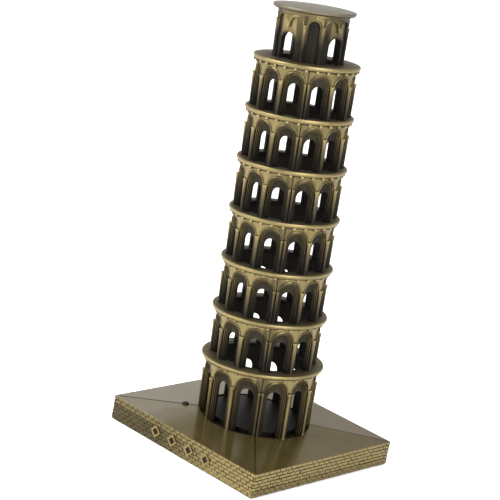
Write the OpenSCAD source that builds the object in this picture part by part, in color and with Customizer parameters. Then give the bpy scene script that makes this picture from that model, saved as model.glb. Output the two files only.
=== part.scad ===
// Table-top model of a leaning round bell tower on a square brick plinth.
// The tower is a stack of cast ring pieces that locate in each other, standing
// on a wedge-cut ground storey, so that its axis leans over a level plinth.
// Angles around the tower are azimuths: 0 faces -Y (the front), 90 faces +X.

/* [Plinth] */
// Side of the square plinth
base_w = 68; // [60:1:80]
// Height of the plinth's brick side
base_h = 8.5; // [7:0.1:11]
// Rise of the hipped top from its edge to its middle
base_rise = 2.3; // [1:0.1:4]
// Number of brick courses on the side
courses = 7; // [5:1:9]
// Wall thickness of the hollow plinth casting
base_wall = 2.6; // [2:0.1:4]

/* [Tower] */
// Lean of the tower axis from upright, in degrees, towards -X
lean = 3.4; // [0:0.1:4.5]
// Height of the first gallery floor above the plinth edge, along the axis
first_floor = 22.4; // [20:0.1:26]
// Height of each upper storey, floor to floor
storey_h = 17.05; // [15:0.05:19]
// Thickness of the arcade walls
wall_t = 2.6; // [2.2:0.1:3]
// Thickness of each gallery ring
gallery_t = 1.6; // [1.4:0.1:2]
// Number of arches around each arcade
arches = 12; // [12:1:12]
// Number of small corbels under each gallery
corbels = 30; // [20:2:36]

/* [Belfry] */
// Outer radius of the belfry drum
belfry_r = 11.6; // [10.5:0.1:12.5]
// Height of the belfry from the top gallery floor to the roof's upper face
belfry_h = 17; // [15:0.1:19]
// Radius of the roof disc
roof_r = 13.7; // [12.5:0.1:14.5]
// Thickness of the roof disc
roof_t = 1.2; // [1:0.1:2]

/* [Fit] */
// Half of the gap at each seam between two halves
seam = 0.03; // [0.01:0.01:0.1]
// Clearance around pegs and register rims
slack = 0.05; // [0.02:0.01:0.1]

/* [Hidden] */
$fn = 96;
storeys = 7;
bay = 360 / arches;
wall_seam = 45;                      // azimuth of the wall seam, on a pier
floor_seam = wall_seam + 90;         // azimuth of the gallery seam
// Outer radius of each gallery rim, from the lowest to the highest
gallery_radii = [20.9, 19.6, 19.0, 18.7, 18.5, 18.1, 17.7];
overhang_low = 1.95;                 // rim overhang past the wall below, first gallery
overhang_step = 0.1;                 // and how much less it is on each gallery above
belfry_wall = 1.9;

foot_depth = 0.4;                    // how deep a wall's foot sits in the floor below
rim_h = 0.5;                         // height of the locating rim on top of a wall
rim_t = 0.8;
rim_inset = 1.0;                     // from the wall's face to the locating rim
peg_r = 0.35;
peg_l = 1.6;
lip = 0.5;                           // floor left inside a wall's foot

opening_inset = 2.05;                // from the middle of a pier to the side of each arch
middle_inset = 1.35;
outer_inset = 0.65;
opening_drop = 4.3;                  // from the gallery's underside to each arch's crown
middle_drop = 2.3;
outer_drop = 1.15;
outer_depth = 0.55;                  // how far each stepped arch is set back
middle_depth = 1.2;
shaft_r = 0.45;
capital_r = 0.8;
capital_h = 0.8;
shaft_stop = 0.3;                    // how far below the gallery a shaft ends
corbel_r = 0.42;
corbel_h = 0.75;

pad_t = 1;
pad_gap = 0.2;                       // height of the plinth's edge above the ground
pad_inset = 3;
seat_r = 19.1;                       // flat seat for the tower in the hipped top
seat_z = base_h + 0.3;
foot_r = 15.9;
foot_t = 1.6;
footing_h = 0.7;
screw_ring = 8;                      // radius of the circle of screws
screw_r = 1.2;
screw_head_r = 2.3;
screw_head_h = 1.5;
boss_r = 12;

big = 100;
bronze = [0.46, 0.38, 0.2];
dark_bronze = [0.16, 0.13, 0.08];
steel = [0.7, 0.7, 0.72];
felt = [0.06, 0.06, 0.06];

function floor_z(i) = first_floor + i * storey_h;
function gallery_r(i) = gallery_radii[i];
function wall_r(i) = gallery_r(i) - overhang_low + i * overhang_step;
function carried_r(i) = i == storeys - 1 ? belfry_r : wall_r(i + 1);
function carried_t(i) = i == storeys - 1 ? belfry_wall : wall_t;
function gallery_inner(i) = carried_r(i) - carried_t(i) - lip;
function half_bay(i) = round(PI * wall_r(i) / arches * 10) / 10;   // to a tenth of a millimetre
function sill_z(i) = i == 0 ? wall_base_z(0) : floor_z(i - 1);
function wall_base_z(i) = i == 0 ? -3 : floor_z(i - 1) - foot_depth;
function wall_top_z(i) = floor_z(i) - gallery_t;

// Turns the +X axis to point outwards at an azimuth.
module facing(azimuth) {
    rotate([0, 0, azimuth - 90]) children();
}

// Stands its children on the tower's leaning axis.
module leaning() {
    translate([0, 0, base_h]) rotate([0, -lean, 0]) children();
}

module ring(outer, inner, low, high) {
    rotate_extrude() translate([inner, low]) square([outer - inner, high - low]);
}

// Everything on one side of an upright plane through the axis.
module half_towards(azimuth) {
    facing(azimuth) translate([seam, -big, -big]) cube([big, 2 * big, 3 * big]);
}

// A round-headed slot cut inwards from the wall's face.
module arch_cut(r, half_w, crown_z, sill, depth) {
    translate([r - depth, -half_w, sill]) cube([depth + 2, 2 * half_w, crown_z - half_w - sill]);
    translate([r - depth, 0, crown_z - half_w]) rotate([0, 90, 0]) cylinder(r = half_w, h = depth + 2, $fn = 32);
}

module wall_arch(i) {
    r = wall_r(i);
    top = wall_top_z(i);
    sill = sill_z(i);
    arch_cut(r, half_bay(i) - outer_inset, top - outer_drop, sill, outer_depth);
    arch_cut(r, half_bay(i) - middle_inset, top - middle_drop, sill, middle_depth);
    arch_cut(r, half_bay(i) - opening_inset, top - opening_drop, sill, wall_t + 1);
}

// Slender shaft with a capital, standing proud of a pier.
module pier_shaft(r, foot_z, spring_z, top_z) {
    translate([r, 0, foot_z]) cylinder(r = shaft_r, h = top_z - foot_z, $fn = 24);
    translate([r, 0, spring_z]) cylinder(r = capital_r, h = capital_h, $fn = 24);
    translate([r, 0, foot_z]) cylinder(r = capital_r, h = capital_h, $fn = 24);
}

// Undoes the lean, for level shapes among leaning ones.
module level() {
    rotate([0, lean, 0]) translate([0, 0, -base_h]) children();
}

// The level cut at the bottom of the ground storey, where it meets the seat.
module above_seat() {
    level() translate([-big, -big, seat_z]) cube([2 * big, 2 * big, 3 * big]);
}

module seam_pegs(at_r, heights, azimuths, r, length) {
    for (a = azimuths, z = heights)
        facing(a) translate([at_r, 0, z]) rotate([90, 0, 0]) cylinder(r = r, h = length, center = true, $fn = 24);
}

module arcade_half(i, side) {
    r = wall_r(i);
    base = wall_base_z(i);
    top = wall_top_z(i);
    spring = top - outer_drop - half_bay(i) + outer_inset;
    centre = side == "left" ? wall_seam - 90 : wall_seam + 90;
    half_arches = arches / 2;
    peg_heights = [max(sill_z(i), 0) + 3, top - 5];
    peg_azimuths = [wall_seam, wall_seam + 180];
    color(bronze) leaning() difference() {
        union() {
            difference() {
                intersection() {
                    facing(centre + 180) ring(r, r - wall_t, base, top);
                    half_towards(centre);
                    if (i == 0) above_seat();
                }
                for (k = [0:half_arches - 1]) facing(centre + (k - half_arches / 2 + 0.5) * bay) wall_arch(i);
            }
            // level footing that ties the ground storey's piers together
            if (i == 0) intersection() {
                level() ring(r, r - wall_t, seat_z, seat_z + footing_h);
                half_towards(centre);
            }
            intersection() {
                facing(centre + 180) ring(r - rim_inset, r - rim_inset - rim_t, top - 0.1, top + rim_h);
                half_towards(centre);
            }
            difference() {
                intersection() {
                    for (k = [0:half_arches]) facing(centre + (k - half_arches / 2) * bay)
                        pier_shaft(r, sill_z(i), spring - capital_h, top - shaft_stop);
                    half_towards(centre);
                }
                if (i == 0) level() hipped_block(base_w, 0, base_h, base_rise);
            }
            if (side == "right") seam_pegs(r - wall_t / 2, peg_heights, peg_azimuths, peg_r, peg_l);
        }
        if (side == "left") seam_pegs(r - wall_t / 2, peg_heights, peg_azimuths, peg_r + slack, peg_l + 0.2);
    }
}

// Section of a gallery ring, from its inner edge to its bevelled rim.
module gallery_section(i) {
    r = gallery_r(i);
    inner = gallery_inner(i);
    polygon([[inner, 0], [r - 0.25, 0], [r, -0.3], [r, -0.95], [r - 0.55, -gallery_t], [inner, -gallery_t]]);
}

module gallery_half(i, side) {
    r = gallery_r(i);
    z = floor_z(i);
    centre = side == "front" ? wall_seam : wall_seam + 180;
    peg_azimuths = [floor_seam, floor_seam + 180];
    color(bronze) leaning() translate([0, 0, z]) difference() {
        union() {
            intersection() {
                difference() {
                    union() {
                        rotate_extrude() gallery_section(i);
                        for (k = [0:corbels - 1]) facing((k + 0.5) * 360 / corbels)
                            translate([wall_r(i) + corbel_r + slack, 0, -gallery_t - corbel_h])
                                cylinder(r = corbel_r, h = corbel_h + 0.2, $fn = 16);
                    }
                    // rebate that holds the foot of the wall above
                    ring(carried_r(i) + slack, carried_r(i) - carried_t(i) - slack, -foot_depth, 1);
                    // groove that takes the rim of the wall below
                    ring(wall_r(i) - rim_inset + slack, wall_r(i) - rim_inset - rim_t - slack,
                        -gallery_t - 1, -gallery_t + rim_h + slack);
                }
                half_towards(centre);
            }
            if (side == "front") seam_pegs(r - 0.95, [-gallery_t / 2], peg_azimuths, peg_r, peg_l);
        }
        if (side == "back") seam_pegs(r - 0.95, [-gallery_t / 2], peg_azimuths, peg_r + slack, peg_l + 0.2);
    }
}

// Belfry drum: four open doorways, four blind niches between paired columns and
// a ring of small blind arches under the roof.
door_half = 2.95;
door_crown = 9.1;
niche_half = 2.1;
niche_crown = 13.3;
small_half = 2.45;
small_crown = 14.2;
small_sill = 11.4;
column_angle = 30;

module belfry_half(side) {
    z = floor_z(storeys - 1);
    body_h = belfry_h - roof_t;
    centre = side == "left" ? wall_seam - 90 : wall_seam + 90;
    peg_heights = [3, body_h - 1.6];
    peg_azimuths = [wall_seam, wall_seam + 180];
    at = belfry_r - belfry_wall * 0.6;
    color(bronze) leaning() translate([0, 0, z]) difference() {
        union() {
            intersection() {
                union() {
                    difference() {
                        ring(belfry_r, belfry_r - belfry_wall, -foot_depth, body_h);
                        for (k = [0:3]) {
                            facing(k * 90) arch_cut(belfry_r, door_half, door_crown, 0, belfry_wall + 1);
                            facing(k * 90 + wall_seam) arch_cut(belfry_r, niche_half, niche_crown, 0, 0.6);
                        }
                        for (k = [0:arches - 1]) facing((k + 0.5) * bay)
                            arch_cut(belfry_r, small_half, small_crown, small_sill, 0.45);
                    }
                    ring(belfry_r + 0.3, belfry_r - 0.5, body_h - 0.8, body_h);
                    ring(belfry_r - 0.8, belfry_r - 1.4, body_h - 0.1, body_h + rim_h);
                    for (k = [0:3], s = [-1, 1]) facing(k * 90 + s * column_angle)
                        pier_shaft(belfry_r, 0, small_sill - 0.4, body_h - 0.5);
                    for (k = [0:3]) facing(k * 90) translate([belfry_r, 0, small_sill - 1])
                        cylinder(r = capital_r, h = 2, $fn = 24);
                }
                half_towards(centre);
            }
            if (side == "right") seam_pegs(at, peg_heights, peg_azimuths, peg_r, peg_l);
        }
        if (side == "left") seam_pegs(at, peg_heights, peg_azimuths, peg_r + slack, peg_l + 0.2);
    }
}

module roof_disc() {
    rim = belfry_r - 0.8;
    color(bronze) leaning() translate([0, 0, floor_z(storeys - 1) + belfry_h]) difference() {
        rotate_extrude() polygon([[0, 0.25], [roof_r - 1, 0.1], [roof_r - 0.2, 0], [roof_r, -0.25],
            [roof_r, -0.7], [roof_r - 0.5, -roof_t], [0, -roof_t]]);
        ring(rim + slack, rim - 0.6 - slack, -roof_t - 1, -roof_t + rim_h + slack);
    }
}

// Hipped block: a gabled bar along each axis, crossed.
module hipped_block(w, low, eaves, rise) {
    intersection() {
        for_axis(w) polygon([[-w / 2, low], [w / 2, low], [w / 2, eaves], [0, eaves + rise], [-w / 2, eaves]]);
        rotate([0, 0, 90])
            for_axis(w) polygon([[-w / 2, low], [w / 2, low], [w / 2, eaves], [0, eaves + rise], [-w / 2, eaves]]);
    }
}

module for_axis(w) {
    rotate([90, 0, 0]) linear_extrude(height = w, center = true) children();
}

module screw_places() {
    for (k = [0:2]) rotate([0, 0, k * 120 + 90]) translate([screw_ring, 0, 0]) children();
}

module base_plinth() {
    course_h = base_h / courses;
    half_diagonal = base_w / sqrt(2);
    hip_fall = atan(base_rise / half_diagonal);
    cavity_w = base_w - 2 * base_wall;
    color(bronze) difference() {
        hipped_block(base_w, pad_gap, base_h, base_rise);
        // mortar lines between the courses
        for (k = [1:courses - 1]) translate([0, 0, k * course_h - 0.1]) difference() {
            translate([-base_w, -base_w, 0]) cube([2 * base_w, 2 * base_w, 0.2]);
            translate([-base_w / 2 + 0.25, -base_w / 2 + 0.25, -1])
                cube([base_w - 0.5, base_w - 0.5, 3]);
        }
        // engraved line down each hip
        for (k = [0:3]) rotate([0, 0, 45 + 90 * k])
            translate([0, 0, base_h + base_rise]) rotate([0, hip_fall, 0])
                translate([seat_r - 1, -0.18, -0.2]) cube([half_diagonal - seat_r - 0.5, 0.36, 1]);
        // flat seat for the tower
        translate([0, 0, seat_z]) cylinder(r = seat_r, h = 5);
        // small casting pit on the left hip
        rotate([0, 0, 225]) translate([25, 0, base_h + 0.5]) cylinder(r = 0.8, h = 3, $fn = 24);
        // hollow underside around a central boss, and the recess for the pad
        difference() {
            translate([-cavity_w / 2, -cavity_w / 2, -1]) cube([cavity_w, cavity_w, base_h - base_wall + 1]);
            cylinder(r = boss_r, h = base_h);
        }
        translate([-base_w / 2 + pad_inset - 2, -base_w / 2 + pad_inset - 2, -1])
            cube([base_w - 2 * pad_inset + 4, base_w - 2 * pad_inset + 4, pad_t + 1]);
        // screw holes and head counterbores
        screw_places() cylinder(r = screw_r + slack, h = base_h + 2, $fn = 32);
        screw_places() translate([0, 0, -1]) cylinder(r = screw_head_r + 0.3, h = base_h - base_wall - 1, $fn = 32);
    }
    // raised plaque ornaments on the front face
    color(bronze) for (k = [-1.5:1:1.5]) translate([k * 8, -base_w / 2, base_h / 2]) rotate([0, 45, 0])
        translate([-1.6, -0.35, -1.6]) cube([3.2, 0.6, 3.2]);
}

module base_pad() {
    w = base_w - 2 * pad_inset + 4 - 4 * slack;
    color(felt) translate([-w / 2, -w / 2, 0]) cube([w, w, pad_t]);
}

module tower_foot() {
    color(dark_bronze) difference() {
        translate([0, 0, seat_z]) cylinder(r = foot_r, h = foot_t);
        screw_places() translate([0, 0, seat_z - 1]) cylinder(r = screw_r + 0.02, h = 1 + foot_t - 0.4, $fn = 32);
    }
}

module foot_screws() {
    head_z = base_h - base_wall - 2;
    color(steel) screw_places() difference() {
        union() {
            translate([0, 0, head_z - screw_head_h]) cylinder(r = screw_head_r, h = screw_head_h, $fn = 32);
            translate([0, 0, head_z - 0.1])
                cylinder(r = screw_r, h = seat_z + foot_t - 0.6 - head_z + 0.1, $fn = 32);
        }
        for (a = [0, 90]) rotate([0, 0, a]) translate([-1.3, -0.25, head_z - screw_head_h - 1])
            cube([2.6, 0.5, 1.7]);
    }
}

base_plinth();
base_pad();
tower_foot();
foot_screws();
for (i = [0:storeys - 1]) {
    name = str(i + 1);
    arcade_half(i, "left");
    arcade_half(i, "right");
    gallery_half(i, "front");
    gallery_half(i, "back");
}
belfry_half("left");  // belfry_left
belfry_half("right");  // belfry_right
roof_disc();
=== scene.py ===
import bmesh
import bpy
import math
import random
from mathutils import Matrix, Vector


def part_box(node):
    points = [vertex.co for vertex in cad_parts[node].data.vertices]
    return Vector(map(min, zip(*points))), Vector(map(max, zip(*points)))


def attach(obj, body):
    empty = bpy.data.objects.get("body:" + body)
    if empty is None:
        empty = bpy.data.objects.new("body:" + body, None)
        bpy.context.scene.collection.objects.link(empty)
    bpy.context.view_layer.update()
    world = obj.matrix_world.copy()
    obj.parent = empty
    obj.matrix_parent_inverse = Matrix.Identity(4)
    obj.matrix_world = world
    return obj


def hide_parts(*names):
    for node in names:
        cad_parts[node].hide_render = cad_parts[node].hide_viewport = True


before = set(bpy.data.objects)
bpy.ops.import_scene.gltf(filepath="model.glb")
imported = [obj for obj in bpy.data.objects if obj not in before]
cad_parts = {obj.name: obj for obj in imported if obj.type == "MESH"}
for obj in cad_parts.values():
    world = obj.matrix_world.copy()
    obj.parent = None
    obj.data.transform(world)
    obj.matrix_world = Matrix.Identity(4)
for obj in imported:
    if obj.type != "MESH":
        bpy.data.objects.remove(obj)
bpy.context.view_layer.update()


# ---------------------------------------------------------------------------
# Camera, lamps and floor.
# A long lens, held a little askew, looks down on the front right corner of the
# plinth. The model stands on seamless white paper under two soft boxes.
# ---------------------------------------------------------------------------
MM = 0.001


def stand_camera(azimuth, elevation, roll, distance, lens, aim_height, aside, lift):
    """Stands the camera round the model; sizes in millimetres, angles in degrees."""
    a, e, r = (math.radians(v) for v in (azimuth, elevation, roll))
    back = Vector((math.sin(a) * math.cos(e), -math.cos(a) * math.cos(e), math.sin(e)))
    level = Vector((math.cos(a), math.sin(a), 0))
    upright = back.cross(level)
    right = level * math.cos(r) + upright * math.sin(r)
    up = upright * math.cos(r) - level * math.sin(r)
    place = (Vector((0, 0, aim_height)) + right * aside + up * lift + back * distance) * MM
    bpy.ops.object.camera_add()
    camera = bpy.context.object
    camera.data.lens = lens
    camera.data.sensor_width = 36
    camera.data.clip_start = 0.01
    camera.matrix_world = Matrix.Translation(place) @ Matrix((right, up, back)).transposed().to_4x4()
    bpy.context.scene.camera = camera


stand_camera(azimuth=41.38, elevation=15.84, roll=10.94, distance=577.5, lens=124.15,
             aim_height=58.3, aside=-10.3, lift=10.7)


def soft_lamp(place, aim, size, power):
    """A square soft box that shines from place towards aim, in metres and watts."""
    way = Vector(aim) - Vector(place)
    bpy.ops.object.light_add(type="AREA", location=place)
    lamp = bpy.context.object
    lamp.rotation_euler = way.to_track_quat("-Z", "Y").to_euler()
    lamp.data.shape = "SQUARE"
    lamp.data.size = size
    lamp.data.energy = power


soft_lamp((-0.35, -0.55, 0.60), (0, 0, 0.06), 0.5, 9)
soft_lamp((0.75, -0.30, 0.45), (0, 0, 0.06), 0.5, 5)

world = bpy.data.worlds.new("studio_air")
bpy.context.scene.world = world
world.use_nodes = True
sky = world.node_tree
direction = sky.nodes.new("ShaderNodeTexCoord")
height = sky.nodes.new("ShaderNodeSeparateXYZ")
tent = sky.nodes.new("ShaderNodeValToRGB")
sky.links.new(direction.outputs["Generated"], height.inputs[0])
sky.links.new(height.outputs["Z"], tent.inputs[0])
sky.links.new(tent.outputs[0], sky.nodes["Background"].inputs["Color"])
sky.nodes["Background"].inputs["Strength"].default_value = 2.3
tent.color_ramp.elements[0].position = 0.14
tent.color_ramp.elements[0].color = (0.46, 0.46, 0.46, 1)
tent.color_ramp.elements[1].position = 0.9
tent.color_ramp.elements[1].color = (1, 1, 1, 1)
for spot, level in ((0.30, 0.2), (0.55, 0.3)):
    tent.color_ramp.elements.new(spot).color = (level, level, level, 1)
bpy.context.scene.view_settings.view_transform = "Standard"


class Wire:
    """A shader socket that takes part in Python arithmetic."""

    def __init__(self, finish, socket):
        self.finish = finish
        self.socket = socket

    def sum(self, operation, *values):
        return self.finish.add("ShaderNodeMath", {"operation": operation}, *values)

    def __add__(self, other):
        return self.sum("ADD", self, other)

    def __radd__(self, other):
        return self.sum("ADD", other, self)

    def __sub__(self, other):
        return self.sum("SUBTRACT", self, other)

    def __rsub__(self, other):
        return self.sum("SUBTRACT", other, self)

    def __mul__(self, other):
        return self.sum("MULTIPLY", self, other)

    def __rmul__(self, other):
        return self.sum("MULTIPLY", other, self)

    def held(self):
        """The value held between 0 and 1."""
        return self.finish.add("ShaderNodeClamp", {}, self)


class Finish:
    """A material under construction."""

    def __init__(self, name):
        self.material = bpy.data.materials.new(name)
        self.material.use_nodes = True
        self.tree = self.material.node_tree
        self.shader = self.tree.nodes["Principled BSDF"]

    def add(self, kind, settings, *values, output=0, **named):
        """Adds a node: settings first, then values or wires by position or by socket name."""
        node = self.tree.nodes.new(kind)
        for key, value in settings.items():
            if key == "stops":
                self.set_stops(node.color_ramp, value)
            else:
                setattr(node, key, value)
        for key, value in list(enumerate(values)) + list(named.items()):
            self.feed(node.inputs[key], value)
        return Wire(self, node.outputs[output])

    def set_stops(self, ramp, stops):
        while len(ramp.elements) < len(stops):
            ramp.elements.new(0.5)
        for element, (place, color) in zip(ramp.elements, stops):
            element.position = place
            element.color = color

    def feed(self, socket, value):
        if isinstance(value, Wire):
            self.tree.links.new(value.socket, socket)
        elif value is not None:
            socket.default_value = value

    def set(self, **sockets):
        """Feeds the surface shader; an underscore stands for a space in a socket's name."""
        for name, value in sockets.items():
            self.feed(self.shader.inputs[name.replace("_", " ")], value)

    def noise(self, place, scale, detail=3.0, roughness=0.5):
        return self.add("ShaderNodeTexNoise", {}, Vector=place, Scale=scale, Detail=detail,
                        Roughness=roughness)

    def place(self):
        return self.add("ShaderNodeTexCoord", {}, output=3)

    def blend(self, share, low, high):
        """A colour between two others."""
        node = self.tree.nodes.new("ShaderNodeMix")
        node.data_type = "RGBA"
        self.feed(node.inputs[0], share)
        self.feed(node.inputs[6], low)
        self.feed(node.inputs[7], high)
        return Wire(self, node.outputs[2])

    def bump(self, height, strength, distance):
        return self.add("ShaderNodeBump", {}, Height=height, Strength=strength, Distance=distance)


def paper_white():
    """Matt seamless background paper with a very faint fibre."""
    finish = Finish("paper_white")
    fibre = finish.noise(finish.place(), 400.0)
    finish.set(Base_Color=finish.blend(fibre, (0.88, 0.88, 0.88, 1), (0.93, 0.93, 0.93, 1)),
               Roughness=0.9, Normal=finish.bump(fibre, 0.05, 0.0001))
    return finish.material


bpy.ops.object.select_all(action="DESELECT")
bpy.ops.mesh.primitive_plane_add(size=6)
floor = bpy.context.object
floor.name = "paper_floor"
floor.data.materials.append(paper_white())


# ---------------------------------------------------------------------------
# Pad under the plinth.
# Black self-adhesive felt with rounded corners, pressed into the recess of the
# hollow casting, so it hides the screw heads and saves the table.
# ---------------------------------------------------------------------------
def only(*pieces):
    """Selects just these pieces; the first is the active one."""
    bpy.ops.object.select_all(action="DESELECT")
    for piece in pieces:
        piece.select_set(True)
    bpy.context.view_layer.objects.active = pieces[0]


def apply(piece, kind, **settings):
    """Adds a modifier and applies it at once."""
    only(piece)
    modifier = piece.modifiers.new(kind.lower(), kind)
    for key, value in settings.items():
        setattr(modifier, key, value)
    bpy.ops.object.modifier_apply(modifier=modifier.name)


def settle(piece, *nodes, slot="bronze", finish=None, name=None):
    """Gives a piece its name and finish, and hangs it on the model's one body."""
    if name:
        piece.name = name
        piece.data.name = name
    if finish:
        piece.data.materials.clear()
        piece.data.materials.append(finish)
    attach(piece, "root")
    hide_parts(*nodes)


def felt():
    """Short black fibres pressed flat."""
    finish = Finish("felt")
    fibre = finish.noise(finish.place(), 6000.0, 4.0, 0.7)
    finish.set(Base_Color=finish.blend(fibre, (0.006, 0.006, 0.007, 1), (0.03, 0.03, 0.032, 1)),
               Roughness=0.95, Normal=finish.bump(fibre, 0.6, 0.0002))
    return finish.material


pad_low, pad_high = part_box("base_pad")
pad_size = pad_high - pad_low
corner_r = 2 * MM
bpy.ops.object.select_all(action="DESELECT")
bpy.ops.mesh.primitive_plane_add(size=1, location=(0, 0, pad_low.z))
pad = bpy.context.object
pad.scale = (pad_size.x, pad_size.y, 1)
bpy.ops.object.transform_apply(location=True, rotation=True, scale=True)
apply(pad, "BEVEL", affect="VERTICES", width=corner_r, segments=6)
apply(pad, "SOLIDIFY", thickness=pad_size.z, offset=1)
apply(pad, "BEVEL", width=0.15 * MM, segments=2)
settle(pad, "base_pad", slot="felt", finish=felt(), name="felt_pad")


# ---------------------------------------------------------------------------
# Plinth.
# One hollow zinc casting, plated in antique bronze: a low hipped top over four
# walls of running brickwork, with four plain lozenges raised on the front wall.
# It is modelled in millimetres and shrunk to size when it is settled.
# ---------------------------------------------------------------------------
def start():
    """Clears the selection, ready for a new primitive."""
    bpy.ops.object.select_all(action="DESELECT")


def block(low, high):
    """A cube between two corners, in millimetres, with its place in its mesh."""
    start()
    low, high = Vector(low), Vector(high)
    bpy.ops.mesh.primitive_cube_add(size=1, location=(low + high) / 2)
    piece = bpy.context.object
    piece.scale = high - low
    bpy.ops.object.transform_apply(location=True, rotation=True, scale=True)
    return piece


def pick(piece, kind, test):
    """In edit mode, selects the faces, edges or vertices that pass the test and no others."""
    bpy.ops.mesh.select_mode(type={"faces": "FACE", "edges": "EDGE", "verts": "VERT"}[kind])
    bpy.ops.mesh.select_all(action="DESELECT")
    mesh = bmesh.from_edit_mesh(piece.data)
    mesh.normal_update()
    for part in getattr(mesh, kind):
        if test(part):
            part.select_set(True)
    mesh.select_flush_mode()
    bmesh.update_edit_mesh(piece.data)


def edit(piece):
    only(piece)
    bpy.ops.object.mode_set(mode="EDIT")


def split(at, facing, trim=False):
    """In edit mode, cuts the mesh through a plane; trim takes off what lies beyond and closes it."""
    bpy.ops.mesh.select_all(action="SELECT")
    bpy.ops.mesh.bisect(plane_co=at, plane_no=facing, use_fill=trim, clear_outer=trim)


def done():
    bpy.ops.object.mode_set(mode="OBJECT")


def middle(part):
    """The middle of an edge or a face."""
    return sum((v.co for v in part.verts), Vector()) / len(part.verts)


def cut_away(piece, *cutters):
    """Takes the cutters out of a piece, and deletes them."""
    for cutter in cutters:
        apply(piece, "BOOLEAN", operation="DIFFERENCE", solver="EXACT", object=cutter)
        bpy.data.objects.remove(cutter)


def joined(*pieces):
    """Makes one object of several."""
    only(*pieces)
    bpy.ops.object.join()
    return bpy.context.object


def copy_of(piece):
    """A copy with its own mesh."""
    only(piece)
    bpy.ops.object.duplicate()
    return bpy.context.object


def put(piece, place):
    """Moves a piece by a matrix, and keeps its place in its mesh."""
    piece.matrix_world = place
    only(piece)
    bpy.ops.object.transform_apply(location=True, rotation=True, scale=True)


def round_off(piece, width, segments=2, angle=35):
    """Softens the edges as casting and plating do."""
    apply(piece, "BEVEL", width=width, segments=segments, limit_method="ANGLE",
          angle_limit=math.radians(angle), use_clamp_overlap=True)


def smooth(piece, angle=35):
    only(piece)
    bpy.ops.object.shade_smooth_by_angle(angle=math.radians(angle))


plinth_low, plinth_high = (v * 1000 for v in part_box("base_plinth"))
half_w = plinth_high.x
seat_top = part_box("tower_foot")[0].z * 1000
eaves = seat_top - 0.3
crest = eaves + 2.3
courses = 7
course_h = eaves / courses
mortar = 0.28                      # how far the brick joints lie back
lip_h = 0.2                        # height of the plain lip over the bricks
core = half_w - mortar
lip = half_w - 0.05

body = block((-core, -core, plinth_low.z), (core, core, eaves - lip_h))
edit(body)
pick(body, "faces", lambda face: face.normal.z > 0.9)
bpy.ops.mesh.extrude_region_move()
bpy.ops.transform.resize(value=(lip / core, lip / core, 1))
bpy.ops.mesh.extrude_region_move(TRANSFORM_OT_translate={"value": (0, 0, lip_h)})
bpy.ops.mesh.extrude_region_move(TRANSFORM_OT_translate={"value": (0, 0, crest - eaves)})
bpy.ops.mesh.merge(type="CENTER")
pick(body, "edges", lambda edge: max(v.co.z for v in edge.verts) > crest - 0.01)
bpy.ops.mesh.bevel(offset=0.3, segments=2, affect="EDGES", profile=0.2)
done()


def rod(radius, depth, place=(0, 0, 0), sides=32):
    """An upright cylinder round a place, in millimetres."""
    start()
    bpy.ops.mesh.primitive_cylinder_add(vertices=sides, radius=radius, depth=depth, location=place)
    return bpy.context.object


cast_t = 2.6                       # thickness of the hollow casting
inside = half_w - cast_t
pad_edge = half_w - 1              # half the width of the pad's recess
seat_r = 19.1                      # the recess that the tower stands in
boss_r = 12                        # the solid middle that takes the screws
screw_circle = 8
shank_hole_r = 1.26
head_hole_r = 2.6
head_seat = eaves - 3.6            # where the screw heads bear

seat = rod(seat_r, 8, (0, 0, seat_top + 4), 96)
cavity = block((-inside, -inside, -1), (inside, inside, eaves - cast_t))
cut_away(cavity, rod(boss_r, 20, sides=64))
recess = block((-pad_edge, -pad_edge, -1), (pad_edge, pad_edge, 1))
cut_away(body, seat, cavity, recess)
for turn in (90, 210, 330):
    place = Matrix.Rotation(math.radians(turn), 3, "Z") @ Vector((screw_circle, 0, 0))
    cut_away(body, rod(shank_hole_r, 30, place), rod(head_hole_r, 2 * head_seat, place))

# A groove down each of the four hips.
hip = half_w * math.sqrt(2)
fall = math.atan((crest - eaves) / hip)
for turn, wide in ((45, 0.18), (135, 0.18), (225, 0.34), (315, 0.24)):
    groove = block((18, -wide, -0.06 - wide), (hip - 0.8, wide, 1))
    put(groove, Matrix.Rotation(math.radians(turn), 4, "Z") @ Matrix.Translation((0, 0, crest))
        @ Matrix.Rotation(fall, 4, "Y"))
    cut_away(body, groove)
round_off(body, 0.12, 2, 30)

# One wall of brickwork, in running bond, and its copies for the other three sides.
random.seed(11)
wobble = random.uniform
brick_w = 2 * half_w / 26.5
gap = 0.1                          # half the width of a mortar joint
wall_bricks = []
stock = block((-brick_w / 2 + gap + 0.01, 0, gap), (brick_w / 2 - gap - 0.01, 1.0, course_h - gap))
round_off(stock, 0.1, 2, 30)
smooth(stock, 60)
for course in range(courses):
    shift = 0.5 * (course % 2)
    for k in range(-15, 16):
        brick = copy_of(stock)
        brick.scale = (wobble(0.93, 1.04), 1, wobble(0.93, 1.04))
        brick.rotation_euler = (wobble(-0.03, 0.03), 0, wobble(-0.015, 0.015))
        brick.location = ((k + shift) * brick_w + wobble(-0.07, 0.07), -half_w + wobble(0.0, 0.12),
                          course * course_h + wobble(-0.02, 0.02) + (plinth_low.z if course == 0 else 0))
        wall_bricks.append(brick)
bpy.data.objects.remove(stock)
wall = joined(*wall_bricks)
bpy.ops.object.transform_apply(location=True, rotation=True, scale=True)
edit(wall)
for side in (-1, 1):
    split((side * (half_w - 0.04), -half_w, 0), (side, 1, 0), trim=True)
done()
walls = [wall]
for turn in (90, 180, 270):
    side = copy_of(wall)
    put(side, Matrix.Rotation(math.radians(turn), 4, "Z"))
    walls.append(side)

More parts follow.
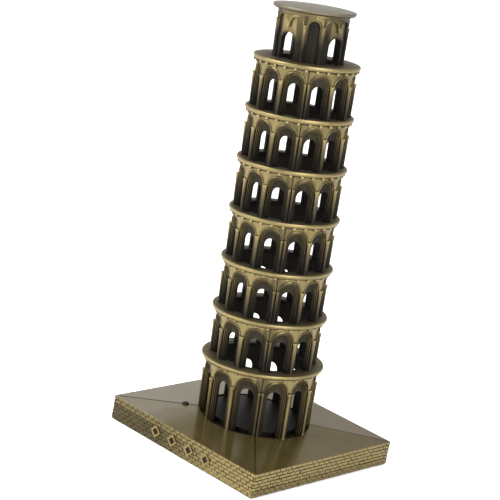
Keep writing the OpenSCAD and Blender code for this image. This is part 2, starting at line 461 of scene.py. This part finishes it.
lozenges = []
lozenge_pitch = 8
for k in (-1.5, -0.5, 0.5, 1.5):
    lozenge = block((-1.6, -0.35, -1.6), (1.6, 0.5, 1.6))
    put(lozenge, Matrix.Translation((k * lozenge_pitch, -half_w, eaves / 2))
        @ Matrix.Rotation(math.pi / 4, 4, "Y"))
    edit(lozenge)
    pick(lozenge, "faces", lambda face: face.normal.y < -0.9)
    bpy.ops.mesh.inset(thickness=0.6, depth=0)
    bpy.ops.mesh.inset(thickness=0.12, depth=-0.3)
    done()
    round_off(lozenge, 0.08)
    lozenges.append(lozenge)


def bronze(name, bright, plain, deep, gloss=0.3, drag=(60, 60, 60), metal=1.0, fleck=0.35, painted_reflection=None):
    """Antique bronze plate: bright where it is rubbed, plain elsewhere, deep in recesses and in painted
    shade.
    The mesh's depth attribute says how dark a spot is, from 0 to 1, as patina in recesses and painted
    shade; drag stretches the rubbing marks, fleck is the share of dark flecks, and the last argument is
    a paler colour painted on the left part as a painted reflection."""
    finish = Finish(name)
    place = finish.place()
    # The depth attribute: patina in recesses and painted shade, from 0 to 1.
    patina_and_shade = finish.add("ShaderNodeAttribute", {"attribute_name": "depth"}, output=2)
    cloudy = finish.noise(place, 180.0, 4.0, 0.6)
    drawn = finish.noise(finish.add("ShaderNodeMapping", {}, Vector=place, Scale=drag), 10.0, 5.0, 0.65)
    speck = finish.noise(place, 2600.0, 3.0, 0.6)
    rubbed = finish.add("ShaderNodeNewGeometry", {}, output=7)
    edge = ((rubbed - 0.5) * 6.0).held()
    worn = (edge * 0.6 + (drawn - 0.5) * 0.9 + (cloudy - 0.5) * 0.6 + 0.3 - patina_and_shade).held()
    shade = (patina_and_shade * 1.1 + (cloudy - 0.5) * 0.3 - edge * 0.2).held()
    coat = finish.blend(worn, plain, bright)
    color = finish.blend(shade, coat, deep)
    flecks = ((speck - 0.62) * 5.0).held()
    color = finish.blend(flecks * fleck, color, deep)
    # A paler colour over the left part is a painted reflection of the bright surroundings.
    if painted_reflection:
        across = finish.add("ShaderNodeSeparateXYZ", {}, place)
        reflection_share = ((-0.005 - across) * 70.0 + (cloudy - 0.5) * 0.6).held()
        color = finish.blend(reflection_share * (1.0 - shade), color, painted_reflection)
    finish.set(Base_Color=color, Metallic=metal - shade * 0.15,
               Roughness=(gloss + shade * 0.25 + (cloudy - 0.5) * 0.16 + (drawn - 0.5) * 0.12).held(),
               Normal=finish.bump(speck * 0.5 + cloudy, 0.06, 0.0002))
    return finish.material


def store_patina_and_shade(piece, depth):
    """Stores each vertex's patina and painted shade, from its place in the mesh: 0 on the face, 1 in the
    dark.
    """
    mesh = piece.data
    layer = mesh.attributes.get("depth") or mesh.attributes.new("depth", "FLOAT", "POINT")
    layer.data.foreach_set("value", [depth(v.co) for v in mesh.vertices])


# A black casting blister sits on the left hip.
start()
bpy.ops.mesh.primitive_uv_sphere_add(segments=20, ring_count=12, radius=1)
blister = bpy.context.object
put(blister, Matrix.Rotation(math.radians(225), 4, "Z") @ Matrix.Translation((23.9, 0, eaves + 1.25))
    @ Matrix.Diagonal((1.25, 1.15, 0.75, 1)))
edit(blister)
pick(blister, "verts", lambda v: v.co.z > eaves + 1.7)
bpy.ops.transform.translate(value=(0.25, -0.1, 0.08))
done()
smooth(blister, 60)


def sunk(co):
    """Black in the mortar joints, the hip grooves and the seat; clean on the slopes."""
    out = max(abs(co.x), abs(co.y))
    if out > core - 0.05 and co.z < eaves - lip_h + 0.02:
        return 1.0
    slope = crest - (crest - eaves) * out / half_w
    return 1.0 if slope - co.z > 0.05 and out < half_w - 1 else 0.0


def shaded_leftwards(co):
    """Painted shade: the front wall's bricks are darker towards the left, and least so in the top
    course.
    """
    return 0.1 + max(0.0, min(0.5, (14 - co.x) / 50)) * (1.0 if co.z < 6.0 else 0.4)


store_patina_and_shade(body, sunk)
store_patina_and_shade(blister, lambda co: 1.0)
# The plinth's left part is painted paler: a painted reflection.
plinth_bronze = bronze("plinth_bronze", (0.135, 0.103, 0.038, 1), (0.092, 0.070, 0.025, 1),
                       (0.010, 0.008, 0.006, 1), gloss=0.2, drag=(20, 20, 20), metal=0.78, fleck=0.12,
                       painted_reflection=(0.25, 0.217, 0.155, 1))
body.data.materials.append(plinth_bronze)
blister.data.materials.append(plinth_bronze)
brick_bronze = bronze("brick_bronze", (0.285, 0.221, 0.093, 1), (0.155, 0.12, 0.049, 1),
                      (0.012, 0.010, 0.008, 1), gloss=0.36)
for part in walls + lozenges:
    part.data.materials.append(brick_bronze)
    store_patina_and_shade(part, lambda co: 0.2 if co.z < 3 else 0.0)
for lozenge in lozenges:
    store_patina_and_shade(lozenge, lambda co: 0.85 if co.y > -half_w - 0.2 else 0.0)
store_patina_and_shade(wall, shaded_leftwards)
plinth = joined(body, blister, *walls, *lozenges)
put(plinth, Matrix.Scale(MM, 4))
settle(plinth, "base_plinth", name="brick_plinth")


# ---------------------------------------------------------------------------
# Foot plate and its screws.
# A dark pressed disc inside the first storey; three steel screws from below
# pass through the plinth and hold it.
# ---------------------------------------------------------------------------
def dark_plate():
    """Near-black bronze with a faint turned grain."""
    finish = Finish("dark_plate")
    place = finish.place()
    cloudy = finish.noise(place, 300.0, 4.0, 0.6)
    finish.set(Base_Color=finish.blend(cloudy, (0.006, 0.005, 0.004, 1), (0.03, 0.026, 0.019, 1)),
               Metallic=0.95, Roughness=cloudy * 0.2 + 0.35, Normal=finish.bump(cloudy, 0.1, 0.0002))
    return finish.material


def screw_steel():
    """Bright zinc-plated steel."""
    finish = Finish("screw_steel")
    cloudy = finish.noise(finish.place(), 900.0, 3.0, 0.6)
    finish.set(Base_Color=finish.blend(cloudy, (0.42, 0.42, 0.43, 1), (0.6, 0.6, 0.62, 1)), Metallic=1.0,
               Roughness=cloudy * 0.2 + 0.25, Normal=finish.bump(cloudy, 0.1, 0.0001))
    return finish.material


for node, finish in (("tower_foot", dark_plate()), ("foot_screws", screw_steel())):
    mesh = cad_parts[node].data
    mesh.materials.clear()
    mesh.materials.append(finish)


# ---------------------------------------------------------------------------
# Seven arcaded storeys.
# Each is cast in two halves of six bays that meet at the front and back piers:
# stepped round arches on half-round piers, open to the hollow inside. A bay is
# modelled flat, repeated, bent round to its radius and leaned over.
# ---------------------------------------------------------------------------
def around(*nodes):
    """The box round several CAD nodes, in millimetres."""
    boxes = [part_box(node) for node in nodes]
    low = Vector([min(box[0][k] for box in boxes) for k in range(3)])
    high = Vector([max(box[1][k] for box in boxes) for k in range(3)])
    return low * 1000, high * 1000


decks = [around(f"gallery_{n}_front", f"gallery_{n}_back") for n in range(1, 8)]
deck_radii = [(high.y - low.y) / 2 for low, high in decks]
climb = sum(decks[6], Vector()) / 2 - sum(decks[0], Vector()) / 2
lean = math.atan2(-climb.x, climb.z)
pivot = Vector((0, 0, 8.5))


def deck_height(n):
    """How far up the leaning axis a gallery's top lies."""
    rim = decks[n][1].z - pivot.z - (deck_radii[n] - 0.25) * math.sin(lean)
    return rim / math.cos(lean)


def wall_radius(n):
    """Outer radius of a storey's wall: its gallery overhangs it, a little less on each storey up."""
    return deck_radii[n] - 1.95 + 0.1 * n


leaning = Matrix.Translation(pivot) @ Matrix.Rotation(-lean, 4, "Y")
deck_tops = [deck_height(n) for n in range(7)]
deck_t = 1.6


def arch_plug(half, crown, foot, front, back):
    """A round-headed plug from a circle, to cut an arch with: heights are z, front and back are y."""
    start()
    bpy.ops.mesh.primitive_circle_add(vertices=48, radius=half, fill_type="NGON",
                                      location=(0, front, crown - half), rotation=(math.pi / 2, 0, 0))
    plug = bpy.context.object
    bpy.ops.object.transform_apply(location=True, rotation=True, scale=True)
    edit(plug)
    pick(plug, "verts", lambda v: v.co.z < crown - half - 0.01)
    bpy.ops.transform.translate(value=(0, 0, foot - crown))
    bpy.ops.mesh.select_all(action="SELECT")
    bpy.ops.mesh.extrude_region_move(TRANSFORM_OT_translate={"value": (0, back - front, 0)})
    bpy.ops.mesh.select_all(action="SELECT")
    bpy.ops.mesh.normals_make_consistent(inside=False)
    done()
    return plug


def arch_rib(radius, width, proud, spring, at=0.0, legs=0.0):
    """A half-round moulding bent over an arch by spinning its section, with straight legs below it."""
    start()
    bpy.ops.mesh.primitive_circle_add(vertices=10, radius=0.5, fill_type="NGON",
                                      location=(radius, at, spring))
    rib = bpy.context.object
    rib.scale = (width, 2 * proud, 1)
    bpy.ops.object.transform_apply(location=True, rotation=True, scale=True)
    edit(rib)
    bpy.ops.mesh.select_all(action="SELECT")
    bpy.ops.mesh.spin(steps=24, angle=math.pi, center=(0, at, spring), axis=(0, 1, 0))
    bpy.ops.mesh.select_all(action="SELECT")
    bpy.ops.mesh.normals_make_consistent(inside=False)
    if legs:
        pick(rib, "faces", lambda face: face.normal.z < -0.99 and middle(face).z < spring + 0.001)
        bpy.ops.mesh.extrude_region_move(TRANSFORM_OT_translate={"value": (0, 0, -legs)})
    done()
    return rib


def outline(begin, moves):
    """A point is extruded by (out, up) moves into an outline, which is left selected in edit mode."""
    start()
    bpy.ops.mesh.primitive_plane_add(size=1)
    piece = bpy.context.object
    edit(piece)
    bpy.ops.mesh.select_mode(type="VERT")
    bpy.ops.mesh.select_all(action="SELECT")
    bpy.ops.mesh.merge(type="CENTER")
    bpy.ops.transform.translate(value=(begin[0], 0, begin[1]))
    for out, up in moves:
        bpy.ops.mesh.extrude_region_move(TRANSFORM_OT_translate={"value": (out, 0, up)})
    bpy.ops.mesh.select_all(action="SELECT")
    return piece


def turned(*moves, steps=16):
    """A turned solid: an outline that starts and ends on the axis, spun all the way round."""
    piece = outline((0, 0), moves)
    bpy.ops.mesh.spin(steps=steps, angle=2 * math.pi, center=(0, 0, 0), axis=(0, 0, 1))
    bpy.ops.mesh.select_all(action="SELECT")
    bpy.ops.mesh.remove_doubles(threshold=0.001)
    bpy.ops.mesh.normals_make_consistent(inside=False)
    done()
    return piece


def column(radius, foot, head):
    """An engaged column from its foot to the top of its capital."""
    tall = head - foot
    piece = turned((radius, 0), (0, 0.35), (-radius * 0.12, 0.25), (-radius * 0.12, 0.2),
                   (radius * 0.26, tall - 2.0), (radius * 0.1, 0.2), (-radius * 0.05, 0.1),
                   (radius * 0.2, 0.55), (0, 0.35), (-radius * 1.27, 0))
    put(piece, Matrix.Translation((0, 0, foot)))
    return piece


def bent_half(strip, reach, centre, top):
    """Bends a flat strip to a half ring and stands it on the leaning axis."""
    width = max(v.co.x for v in strip.data.vertices) - min(v.co.x for v in strip.data.vertices)
    radius = (reach + 0.05) * 2 / math.pi
    apply(strip, "SIMPLE_DEFORM", deform_method="BEND", deform_axis="Z", angle=width / radius)
    put(strip, leaning @ Matrix.Translation((0, 0, top)) @ Matrix.Rotation(math.radians(centre), 4, "Z")
        @ Matrix.Translation((0, -radius, 0)))


storey_bronze = bronze("storey_bronze", (0.305, 0.24, 0.105, 1), (0.14, 0.112, 0.052, 1),
                       (0.015, 0.0125, 0.009, 1), gloss=0.3, drag=(60, 60, 8))
plate_t = 2.0                      # thickness of an arcade's wall
top_rail = 0.95                    # solid wall over the crowns of the arches
pier_half = 0.6                    # half the width of the wall between two arches
opening_crown = -4.9
column_r = 0.76
deep_below = 9                     # how far a cutter runs on below the foot it cuts through
rebates = ((-0.16, 0.16), (0.3, 0.4), (0.75, 0.8), (1.15, 1.2))            # inset and depth
mouldings = ((0.14, 0.3, 0.2, 0.06, 0.0), (0.5, 0.22, 0.13, 0.38, 0.18),   # inset, width, proud,
             (0.9, 0.22, 0.13, 0.78, 0.24), (1.28, 0.2, 0.12, 1.18, 0.34))  # depth and tone


def sliced(piece, half, count):
    """Cuts a flat piece across at even steps, so that it bends round, and opens its two ends."""
    edit(piece)
    for k in range(1 - count, count):
        split((k * half / count, 0, 0), (1, 0, 0))
    pick(piece, "faces", lambda face: abs(middle(face).x) > half - 0.001)
    bpy.ops.mesh.delete(type="FACE")
    done()


def in_a_row(piece, count, half, merge=True):
    """Repeats an open-sided piece, 2 * half wide, into a row about the middle."""
    apply(piece, "ARRAY", count=count, use_relative_offset=False, use_constant_offset=True,
          constant_offset_displace=(2 * half, 0, 0), use_merge_vertices=merge, merge_threshold=0.001)
    put(piece, Matrix.Translation(((1 - count) * half, 0, 0)))


def six_bays(bay, half, reach):
    """A row of six bays, closed at the casting seams, with a strip at each to be blackened."""
    in_a_row(bay, 6, half)
    edit(bay)
    for side in (-1, 1):
        split((side * (reach - 0.25), 0, 0), (side, 0, 0))
        split((side * reach, 0, 0), (side, 0, 0), trim=True)
    done()
    return bay


def recessed(co):
    """Bright on the arcade's face, and darker with each rebate: patina and painted shade."""
    for behind, tone in ((0.1, 0.18), (0.2, 0.95), (0.45, 0.8), (0.85, 0.7), (1.3, 0.85)):
        if co.y < behind:
            return tone
    return 1.0


for n in range(7):
    half = math.pi * wall_radius(n) / 12
    below = deck_tops[n - 1] if n else -0.3
    foot = -(deck_tops[n] - deck_t - below) - 0.2
    arch = half - pier_half
    spring = -top_rail - arch
    reach = 6 * half - 0.05
    bay = block((-half, 0, foot), (half, plate_t, 0))
    bottom = foot - deep_below
    for inset, deep in rebates:
        cut_away(bay, arch_plug(arch - inset, spring + arch - inset, bottom, -1, deep))
    cut_away(bay, arch_plug(0.531 * half, opening_crown, bottom, -1, 9))
    edit(bay)
    split((0, 0, spring), (0, 0, 1))
    done()
    sliced(bay, half, 4)
    ribs = []
    for inset, width, proud, at, tone in mouldings:
        rib = arch_rib(arch - inset, width, proud, spring, at, spring - foot if tone else 0.0)
        # Each moulding's tone makes it darker the further back it lies: patina and painted shade.
        store_patina_and_shade(rib, lambda co: tone)
        ribs.append(rib)
    band = block((-half, -0.22, -0.62), (half, 0.3, 0))
    sliced(band, half, 4)
    parts = [six_bays(bay, half, reach), six_bays(band, half, reach), six_bays(joined(*ribs), half, 99)]
    store_patina_and_shade(parts[0], recessed)
    # Painted shadow under the gallery: the band between its brackets is dark.
    store_patina_and_shade(parts[1], lambda co: 0.85 if co.z > -0.6 else 0.1)
    stock = column(column_r, foot, spring + 0.25)
    # Painted shade on the columns' flanks, darker the further back they turn.
    store_patina_and_shade(stock, lambda co: max(0.0, 1.5 * (co.y + 0.5)))
    for k in range(-2, 3):
        pier = copy_of(stock)
        put(pier, Matrix.Translation((2 * k * half, 0.05, 0)))
        parts.append(pier)
    for side in (-1, 1):
        pier = copy_of(stock)
        put(pier, Matrix.Translation((side * (6 * half - 0.55), 0.0, 0))
            @ Matrix.Diagonal((0.62, 0.85, 1, 1)))
        parts.append(pier)
    bpy.data.objects.remove(stock)
    strip = joined(*parts)
    # The metal is darker towards the floor, in painted shade with some dirt, and darker round the seams,
    # which are black.
    tones = strip.data.attributes["depth"].data
    at_floor = (0.3, 0.8, 1.0)[min(n, 2)]
    for v in strip.data.vertices:
        tones[v.index].value += max(0.0, at_floor * (1 - (v.co.z - foot) / 11))
        if abs(v.co.x) > reach - 2.2:
            tones[v.index].value += 0.36 - 0.035 * n if abs(v.co.x) < reach - 0.01 else 0.8
    other = copy_of(strip)
    for piece, centre, side in ((strip, -45, "left"), (other, 135, "right")):
        bent_half(piece, reach, centre, deck_tops[n] - deck_t)
        if n == 0:
            edit(piece)
            split((0, 0, seat_top), (0, 0, -1), trim=True)
            done()
        smooth(piece, 32)
        put(piece, Matrix.Scale(MM, 4))
        settle(piece, f"storey_{n + 1}_{side}", finish=storey_bronze, name=f"arcade_{n + 1}_{side}")


# ---------------------------------------------------------------------------
# Seven galleries.
# Flat ring floors cast in a front and a back half, with a bevelled, rubbed rim
# and a row of small brackets under the overhang.
# ---------------------------------------------------------------------------
def half_ring(begin, *moves, short=0.06):
    """A half ring facing -Y: a closed outline, filled and spun, a few hundredths of a degree short."""
    piece = outline(begin, moves)
    bpy.ops.mesh.remove_doubles(threshold=0.001)
    bpy.ops.mesh.select_all(action="SELECT")
    bpy.ops.mesh.edge_face_add()
    bpy.ops.mesh.spin(steps=72, angle=math.radians(180 - 2 * short), center=(0, 0, 0), axis=(0, 0, 1))
    bpy.ops.mesh.select_all(action="SELECT")
    bpy.ops.mesh.normals_make_consistent(inside=False)
    done()
    put(piece, Matrix.Rotation(math.radians(-short), 4, "Z"))
    return piece


gallery_bronze = bronze("gallery_bronze", (0.345, 0.275, 0.123, 1), (0.185, 0.147, 0.066, 1),
                        (0.011, 0.009, 0.007, 1), gloss=0.42)
belfry_r = 11.6
wall_t = 2.6
drum_t = 1.9
for n in range(7):
    radius = deck_radii[n]
    wall_r = wall_radius(n)
    above_r = wall_radius(n + 1) if n < 6 else belfry_r
    inner = above_r - (wall_t if n < 6 else drum_t) - 0.5
    span = radius - inner
    deck = half_ring((inner, 0), (span - 0.4, 0), (0.28, -0.1), (0.12, -0.28), (0, -0.42),
                     (-0.16, -0.25), (-0.3, -0.1), (-0.1, -0.45), (-(span - 0.56), 0), (0, deck_t))
    brackets = []
    stock = block((-0.42, -wall_r - 1.15, -deck_t - 0.68), (0.42, -wall_r + 0.3, -deck_t + 0.3))
    edit(stock)
    pick(stock, "edges", lambda edge: middle(edge).z < -deck_t - 0.5 and middle(edge).y < -wall_r - 0.8
         and abs(edge.verts[0].co.x - edge.verts[1].co.x) > 0.1)
    bpy.ops.mesh.bevel(offset=0.4, segments=3, affect="EDGES")
    done()
    round_off(stock, 0.07, 1)
    for k in range(-4, 11):
        bracket = copy_of(stock)
        put(bracket, Matrix.Rotation(math.radians(6 + 12 * k - 45), 4, "Z"))
        brackets.append(bracket)
    bpy.data.objects.remove(stock)
    deck = joined(deck, *brackets)

    def shaded(co):
        """Dark in the corner by the wall above, on the underside and between the brackets."""
        out = math.hypot(co.x, co.y)
        if co.z > -0.05:
            return 1.0 if out < above_r + 0.3 else 0.5
        if co.z >= -1.4 or out >= radius - 0.5 or (out > wall_r + 0.6 and co.z < -1.7):
            return 0.0
        return 1.0 if out < inner + 0.1 or out > wall_r else 0.8

    store_patina_and_shade(deck, shaded)
    smooth(deck, 30)
    other = copy_of(deck)
    for piece, centre, side in ((deck, 45, "front"), (other, 225, "back")):
        put(piece, leaning @ Matrix.Translation((0, 0, deck_tops[n]))
            @ Matrix.Rotation(math.radians(centre), 4, "Z"))
        put(piece, Matrix.Scale(MM, 4))
        settle(piece, f"gallery_{n + 1}_{side}", finish=gallery_bronze, name=f"deck_{n + 1}_{side}")


# ---------------------------------------------------------------------------
# Belfry.
# A narrower drum in two halves with four doorways, a niche between each pair,
# and a run of small blind arches on slim columns and pendants under the roof.
# ---------------------------------------------------------------------------
roof_low, roof_high = around("roof_disc")
roof_top = ((roof_low.z + roof_high.z) / 2 - pivot.z) / math.cos(lean) + 0.475
drum_h = roof_top - 1.2 - deck_tops[6]
quarter = belfry_r * math.pi / 4
blind_pitch = quarter / 3          # half the distance between two blind arches
seam_at = 2 * quarter - 0.05       # where a half ends, either side of its middle
bottom = -deep_below
door_r, door_crown = 3.1, 8.85     # half the width of an opening, and the height of its crown
niche_r, niche_crown = 2.0, 13.5
blind_r, blind_crown = 2.35, 14.2
drum = block((-quarter, 0, -0.3), (quarter, drum_t, drum_h))
plugs = [arch_plug(door_r + 0.35, door_crown + 0.35, bottom, -1, 0.5),
         arch_plug(door_r, door_crown, bottom, -1, 9), block((-2.9, -1, bottom), (2.9, 0.45, 10.8))]
for side in (-1, 1):
    niche = arch_plug(niche_r, niche_crown, bottom, -1, 1.3)
    put(niche, Matrix.Translation((side * quarter, 0, 0)))
    plugs.append(niche)
for k in (-3, -1, 1, 3):
    blind = arch_plug(blind_r, blind_crown, bottom, -1, 0.45)
    put(blind, Matrix.Translation((k * blind_pitch, 0, 0)))
    plugs.append(blind)
cut_away(drum, *plugs)
sliced(drum, quarter, 8)
eaves_band = block((-quarter, -0.3, drum_h - 0.8), (quarter, 0.4, drum_h))
sliced(eaves_band, quarter, 8)
ribs = [arch_rib(door_r + 0.45, 0.26, 0.13, door_crown - door_r, 0.45)]
for k in (-3, -1, 1, 3):
    rib = arch_rib(blind_r + 0.15, 0.34, 0.2, blind_crown - blind_r)
    put(rib, Matrix.Translation((k * blind_pitch, 0, 0)))
    if abs(k) == 3:
        edit(rib)
        split((k * blind_pitch, 0, 0), (k, 0, 0), trim=True)
        done()
    ribs.append(rib)
ribs = joined(*ribs)
for piece in (drum, eaves_band, ribs):
    in_a_row(piece, 2, quarter, merge=piece is not ribs)
    edit(piece)
    for side in (-1, 1):
        split((side * seam_at, 0, 0), (side, 0, 0), trim=True)
    done()
parts = [drum, eaves_band, ribs]
for door in (-quarter, quarter):
    for k in (-2, 2):
        pier = column(0.56, 0, 11.9)
        put(pier, Matrix.Translation((door + k * blind_pitch, 0.05, 0)))
        parts.append(pier)
    pendant = turned((0.3, 0), (0.15, 0.3), (0.15, 0.5), (-0.05, 0.1), (0.2, 0.5), (0, 0.35),
                     (-0.75, 0))
    put(pendant, Matrix.Translation((door, 0.05, 10.45)))
    parts.append(pendant)
strip = joined(*parts)


def belfry_patina_and_shade(co):
    """Patina and painted shade: bright on the mouldings, soft on the set-back panels, dark in the
    niches, painted shade on the columns' flanks, round the middle niche and towards the floor, with some
    dirt, and a painted shadow under the eaves.
    """
    reveal = 0.0 if co.y < 0.3 else 0.2 if co.y < 0.5 else 0.75 if co.y < 0.8 else 1.0
    under_eaves = 0.3 if co.z > drum_h - 0.85 else 0.0
    if -0.1 < co.y < 0.1 and co.z > drum_h - 1.2:
        under_eaves = 0.6
    column_side = max(0.0, 1.2 * (co.y + 0.3)) if co.y < -0.01 and co.z < 11.5 else 0.0
    beyond_doors = 0.4 if abs(co.x) < 0.6 * quarter else 0.0
    towards_floor = max(0.0, 1.4 * (1 - co.z / 10))
    return reveal + column_side + under_eaves + beyond_doors + towards_floor


store_patina_and_shade(strip, belfry_patina_and_shade)
other = copy_of(strip)
# A painted shadow of the roof darkens the right half, all but its end at the front seam.
store_patina_and_shade(other, lambda co: belfry_patina_and_shade(co) + (0.22 if co.x > -1.7 * quarter else 0.0))
for piece, centre, side in ((strip, -45, "left"), (other, 135, "right")):
    bent_half(piece, seam_at, centre, deck_tops[6])
    smooth(piece, 32)
    put(piece, Matrix.Scale(MM, 4))
    settle(piece, f"belfry_{side}", finish=storey_bronze, name=f"drum_{side}")


# ---------------------------------------------------------------------------
# Roof.
# A thin, faintly crowned disc with a rolled lower rim, pressed over the drum.
# ---------------------------------------------------------------------------
roof_r = (roof_high.y - roof_low.y) / 2
rise = 0.25                        # the middle of the roof over its edge
roof = turned((roof_r - 1, -0.15), (0.8, -0.1), (0.2, -0.25), (0, -0.35), (-0.12, -0.3), (-0.4, -0.3),
              (-(roof_r - 0.52), 0), steps=96)
put(roof, Matrix.Translation((0, 0, rise)))
# Painted shade: the roof is darker down its rim and darkest underneath.
store_patina_and_shade(roof, lambda co: 0.2 if co.z > 0.04 else 0.35 if co.z > -0.9 else 0.8)
smooth(roof, 20)
put(roof, leaning @ Matrix.Translation((0, 0, roof_top)))
put(roof, Matrix.Scale(MM, 4))
roof_bronze = bronze("roof_bronze", (0.30, 0.262, 0.185, 1), (0.2, 0.172, 0.118, 1),
                     (0.012, 0.010, 0.008, 1), gloss=0.36)
settle(roof, "roof_disc", finish=roof_bronze, name="crown_roof")
